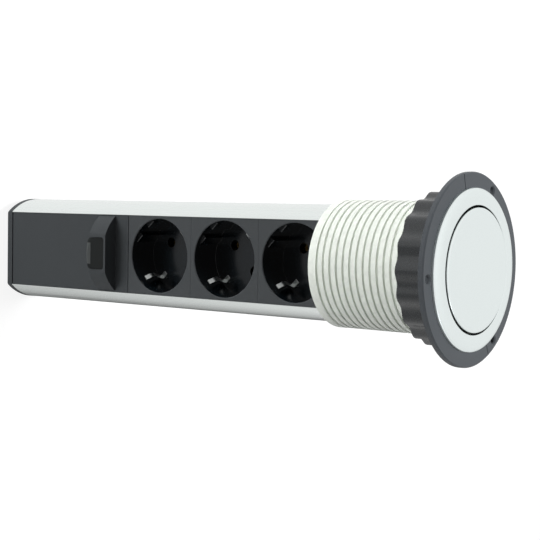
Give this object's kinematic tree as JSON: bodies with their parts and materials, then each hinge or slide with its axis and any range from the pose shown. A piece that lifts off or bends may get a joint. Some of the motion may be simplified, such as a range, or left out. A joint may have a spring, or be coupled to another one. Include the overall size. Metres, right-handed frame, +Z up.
{
  "type": "pop up desk socket",
  "caption": "Round pop-up desk socket: an aluminium column with recessed plug sockets lifts out of a threaded desk sleeve with a clamping nut and catches on a sprung latch.",
  "frame": {"origin": "on the column's axis in the plane of the flange's underside, which lies on the desk top", "axes": "+Z up out of the desk along the column, -Y the way the sockets face"},
  "size_m": [0.0914, 0.0914, 0.3097],
  "materials": {
    "anodised_aluminium": "satin anodised",
    "flange_plastic": "moulded, fine grain",
    "sleeve_plastic": "moulded, smooth",
    "nut_plastic": "moulded, smooth",
    "face_plastic": "moulded, matt",
    "socket_plastic": "moulded, glossy recess",
    "latch_plastic": "moulded",
    "cover_plastic": "moulded",
    "spring_steel": "bright strip",
    "screw_steel": "zinc plated",
    "brass": "stamped",
    "terminal_plastic": "moulded"
  },
  "bodies": {
    "housing": {"mounting_flange": "flange_plastic", "trim_ring": "anodised_aluminium", "threaded_sleeve": "sleeve_plastic"},
    "washer": {"clamp_washer": "nut_plastic"},
    "nut": {"clamping_nut": "nut_plastic"},
    "latch": {"latch_button": "latch_plastic"},
    "column": {"column_profile": "anodised_aluminium", "head_disc": "anodised_aluminium", "upper_blank": "face_plastic", "blank_cover": "face_plastic", "head_core": "face_plastic", "bottom_cap": "face_plastic", "socket_insert_1": "socket_plastic", "socket_insert_2": "socket_plastic", "socket_insert_3": "socket_plastic", "latch_cage": "latch_plastic", "rear_cover_1": "cover_plastic", "rear_cover_2": "cover_plastic", "rear_cover_3": "cover_plastic", "cable_gland": "cover_plastic", "gland_nut": "cover_plastic", "earth_bracket_1": "spring_steel", "earth_bracket_2": "spring_steel", "earth_bracket_3": "spring_steel", "latch_spring": "spring_steel", "head_screws": "screw_steel", "cap_screws": "screw_steel", "terminal_screws": "screw_steel", "contact_pair_1": "brass", "contact_pair_2": "brass", "contact_pair_3": "brass", "live_bar": "brass", "neutral_bar": "brass", "earth_bar": "brass", "terminal_block": "terminal_plastic"}
  },
  "joints": [
    {"name": "column_lift", "type": "slide", "parent": "housing", "child": "column", "axis": [0, 0, 1], "range_m": [0, 0.2262]},
    {"name": "latch_press", "type": "slide", "parent": "column", "child": "latch", "axis": [0, 1, 0], "range_m": [-0.0015, 0.0025], "stiffness_N_per_m": 300, "deforming": ["latch_spring"]},
    {"name": "clamp_travel", "type": "slide", "parent": "housing", "child": "washer", "axis": [0, 0, -1], "range_m": [0, 0.0451]},
    {"name": "nut_spin", "type": "hinge", "parent": "washer", "child": "nut", "pos_m": [0, 0, -0.0092], "axis": [0, 0, -1], "range_deg": [0, 4329.6]}
  ],
  "couplings": [
    {"joint": "nut_spin", "follows": "clamp_travel", "rad_per_m": 1675.5}
  ]
}
